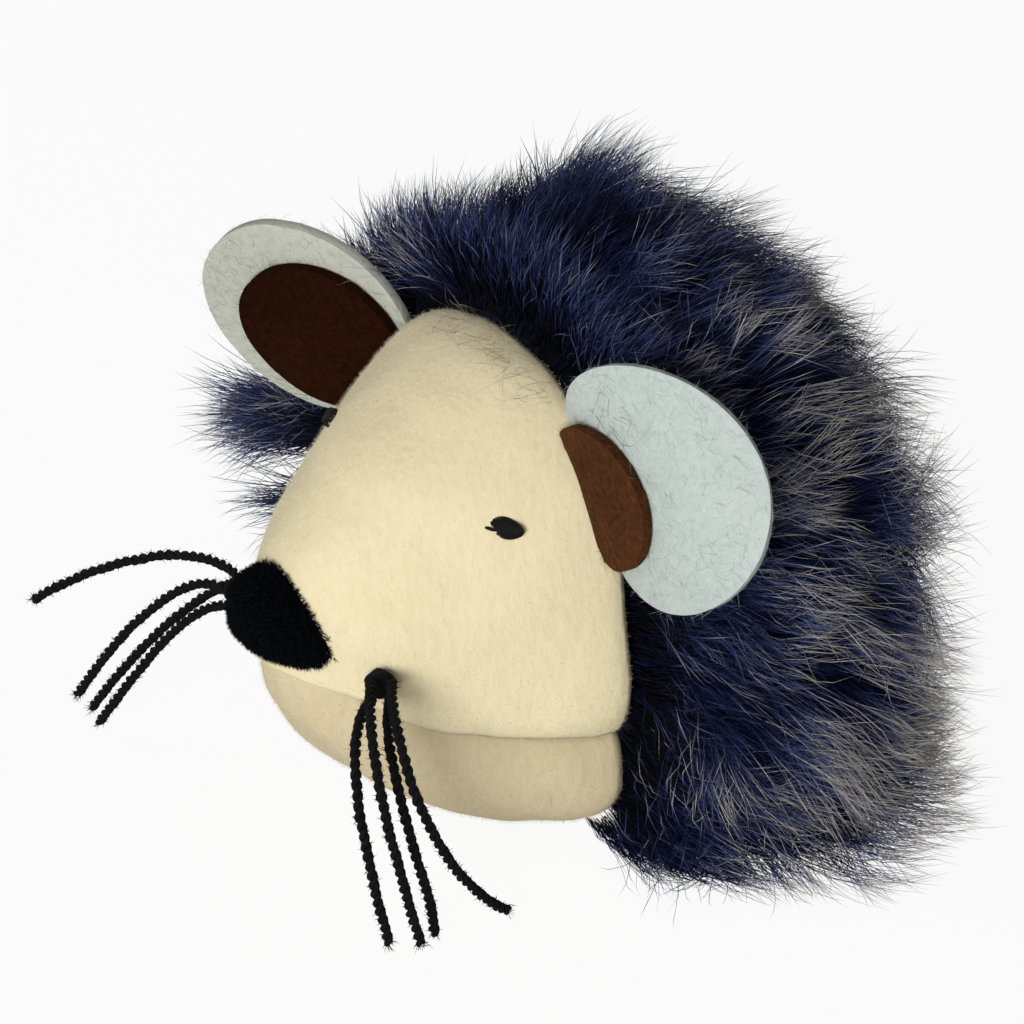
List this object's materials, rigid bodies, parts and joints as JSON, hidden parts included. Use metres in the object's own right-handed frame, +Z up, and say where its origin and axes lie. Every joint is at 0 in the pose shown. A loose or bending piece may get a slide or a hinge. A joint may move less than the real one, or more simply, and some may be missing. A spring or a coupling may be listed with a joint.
{
  "type": "vibrating toy mouse",
  "caption": "Stuffed plush toy mouse with navy fur, cream face, felt ears and cord whiskers, shaken by a pull-cord clockwork with an eccentric weight.",
  "frame": {"origin": "on the floor, on the underside of the belly panel, in the middle plane of the mouse, 8 mm behind the neck seam", "axes": "+X to the mouse's left, +Y to its rump, +Z up; the nose points to -Y"},
  "size_m": [0.0888, 0.0863, 0.0658],
  "materials": {
    "navy_fur": "long pile",
    "cream_plush": "short pile",
    "beige_plush": "short pile",
    "pale_felt": "felt",
    "brown_felt": "felt",
    "black_plush": "short pile",
    "black_thread": "thread",
    "black_cord": "twisted cord",
    "belly_cloth": "woven",
    "filling": "loose fibre",
    "case_plastic": "moulded",
    "gear_plastic": "moulded",
    "steel": "plain",
    "brass": "plain"
  },
  "bodies": {
    "mouse": {"fur_cover": "navy_fur", "face_panel": "cream_plush", "chin_panel": "beige_plush", "ear_outer_left": "pale_felt", "ear_outer_right": "pale_felt", "ear_inner_left": "brown_felt", "ear_inner_right": "brown_felt", "nose": "black_plush", "eye_left": "black_thread", "eye_right": "black_thread", "whisker_knot_left": "black_thread", "whisker_knot_right": "black_thread", "whisker_left_1": "black_cord", "whisker_left_2": "black_cord", "whisker_left_3": "black_cord", "whisker_left_4": "black_cord", "whisker_right_1": "black_cord", "whisker_right_2": "black_cord", "whisker_right_3": "black_cord", "whisker_right_4": "black_cord", "belly_panel": "belly_cloth", "body_stuffing": "filling", "head_stuffing": "filling", "housing_base": "case_plastic", "housing_cover": "case_plastic", "drum_axle": "steel", "idler_axle": "steel", "rotor_axle": "steel", "mainspring": "steel", "housing_screw_1": "steel", "housing_screw_2": "steel", "housing_screw_3": "steel", "housing_screw_4": "steel", "cord_eyelet": "brass"},
    "drum": {"cord_drum": "gear_plastic"},
    "idler": {"idler_gear": "gear_plastic"},
    "rotor": {"rotor_pinion": "gear_plastic", "eccentric_weight": "steel"}
  },
  "joints": [
    {"name": "drum_spin", "type": "hinge", "parent": "mouse", "child": "drum", "pos_m": [-0.007, 0.0113, 0], "axis": [0, 0, 1], "range_deg": [0, 1440], "stiffness_Nm_per_rad": 0.00002, "springref_deg": -89.95, "deforming": ["mainspring"]},
    {"name": "idler_spin", "type": "hinge", "parent": "mouse", "child": "idler", "pos_m": [0.00246, 0.00392, 0], "axis": [0, 0, 1], "range_deg": [-4320, 0]},
    {"name": "rotor_spin", "type": "hinge", "parent": "mouse", "child": "rotor", "pos_m": [0.0095, 0.0113, 0], "axis": [0, 0, 1], "range_deg": [0, 10368]}
  ],
  "couplings": [
    {"joint": "idler_spin", "follows": "drum_spin", "ratio": -3},
    {"joint": "rotor_spin", "follows": "drum_spin", "ratio": 7.2}
  ]
}
